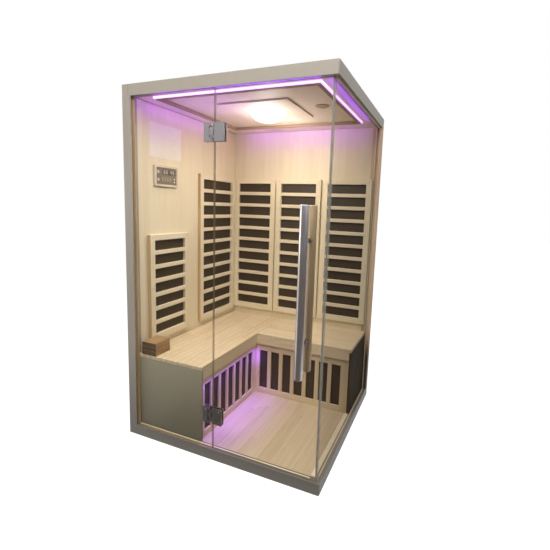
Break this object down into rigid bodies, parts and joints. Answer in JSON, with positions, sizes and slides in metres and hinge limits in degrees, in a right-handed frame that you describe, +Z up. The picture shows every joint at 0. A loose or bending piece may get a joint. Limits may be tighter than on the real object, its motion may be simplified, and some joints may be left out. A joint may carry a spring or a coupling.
{
  "type": "infrared sauna cabin",
  "caption": "Glass-fronted timber sauna cabin with a corner bench, slatted carbon heaters, violet cove lighting and a hinged glass door.",
  "frame": {"origin": "on the floor under the centre of the footprint, on the underside of the base bearer", "axes": "+Z up, front with the door towards -Y, glass side towards +X"},
  "size_m": [1.15, 1.1328, 1.9],
  "materials": {
    "painted_timber": "taupe-grey paint, satin",
    "pale_timber": "sanded pale softwood",
    "seat_timber": "sanded pale softwood, jointed staves",
    "floor_timber": "sanded softwood boards",
    "tan_timber": "tan softwood",
    "brown_timber": "brown softwood",
    "dark_timber": "dark stained softwood",
    "carbon_film": "dark laminated heating film",
    "clear_glass": "clear toughened glass",
    "clear_seal": "clear flexible strip",
    "satin_steel": "satin brushed",
    "led_diffuser": "lit violet-white diffuser",
    "opal_dome": "lit opal",
    "white_metal": "white powder coat",
    "pale_plastic": "pale moulded plastic",
    "dark_plastic": "dark moulded plastic"
  },
  "bodies": {
    "cabin": {"base_frame": "painted_timber", "left_wall_shell": "painted_timber", "roof_frame": "painted_timber", "roof_cover": "painted_timber", "bench_front_end_panel": "painted_timber", "left_wall_lining": "pale_timber", "back_wall_lining": "pale_timber", "ceiling_lining": "pale_timber", "lamp_board": "pale_timber", "left_short_heater_grille": "pale_timber", "left_tall_heater_grille": "pale_timber", "back_heater_1_grille": "pale_timber", "back_heater_2_grille": "pale_timber", "back_heater_3_grille": "pale_timber", "bench_right_end_panel": "dark_timber", "left_bench_top": "seat_timber", "back_bench_top": "seat_timber", "left_bench_front": "seat_timber", "back_bench_front": "seat_timber", "back_wall_shell": "tan_timber", "floor_panel": "floor_timber", "bench_wall_cleat": "brown_timber", "ceiling_light_frame": "brown_timber", "wooden_box": "brown_timber", "left_short_heater_carbon_panel": "carbon_film", "left_tall_heater_carbon_panel": "carbon_film", "back_heater_1_carbon_panel": "carbon_film", "back_heater_2_carbon_panel": "carbon_film", "back_heater_3_carbon_panel": "carbon_film", "left_bench_carbon_panel": "carbon_film", "back_bench_carbon_panel": "carbon_film", "fixed_front_glass": "clear_glass", "side_glass": "clear_glass", "side_glass_seal": "clear_seal", "lower_hinge_fixed_leaf": "satin_steel", "lower_hinge_pin": "satin_steel", "upper_hinge_fixed_leaf": "satin_steel", "upper_hinge_pin": "satin_steel", "ceiling_led_strip": "led_diffuser", "bench_led_strip": "led_diffuser", "lamp_dome": "opal_dome", "lamp_base": "white_metal", "power_box": "white_metal", "control_bezel": "pale_plastic", "control_face": "dark_plastic", "ceiling_speaker": "dark_plastic", "power_inlet": "dark_plastic"},
    "door": {"door_glass": "clear_glass", "lower_hinge_door_leaf": "satin_steel", "upper_hinge_door_leaf": "satin_steel", "outer_handle_bar": "satin_steel", "inner_handle_bar": "satin_steel", "lower_handle_bolt": "satin_steel", "upper_handle_bolt": "satin_steel"},
    "light_button": {"light_button": "pale_plastic"},
    "power_button": {"power_button": "pale_plastic"},
    "setting_key_1": {"setting_key_1": "pale_plastic"},
    "setting_key_2": {"setting_key_2": "pale_plastic"},
    "setting_key_3": {"setting_key_3": "pale_plastic"},
    "setting_key_4": {"setting_key_4": "pale_plastic"}
  },
  "joints": [
    {"name": "door_hinge", "type": "hinge", "parent": "cabin", "child": "door", "pos_m": [-0.025, -0.523, 0.95], "axis": [0, 0, -1], "range_deg": [0, 95]},
    {"name": "light_button_press", "type": "slide", "parent": "cabin", "child": "light_button", "axis": [-1, 0, 0], "range_m": [0, 0.0015], "stiffness_N_per_m": 400},
    {"name": "power_button_press", "type": "slide", "parent": "cabin", "child": "power_button", "axis": [-1, 0, 0], "range_m": [0, 0.0015], "stiffness_N_per_m": 400},
    {"name": "setting_key_1_press", "type": "slide", "parent": "cabin", "child": "setting_key_1", "axis": [-1, 0, 0], "range_m": [0, 0.0015], "stiffness_N_per_m": 400},
    {"name": "setting_key_2_press", "type": "slide", "parent": "cabin", "child": "setting_key_2", "axis": [-1, 0, 0], "range_m": [0, 0.0015], "stiffness_N_per_m": 400},
    {"name": "setting_key_3_press", "type": "slide", "parent": "cabin", "child": "setting_key_3", "axis": [-1, 0, 0], "range_m": [0, 0.0015], "stiffness_N_per_m": 400},
    {"name": "setting_key_4_press", "type": "slide", "parent": "cabin", "child": "setting_key_4", "axis": [-1, 0, 0], "range_m": [0, 0.0015], "stiffness_N_per_m": 400}
  ]
}
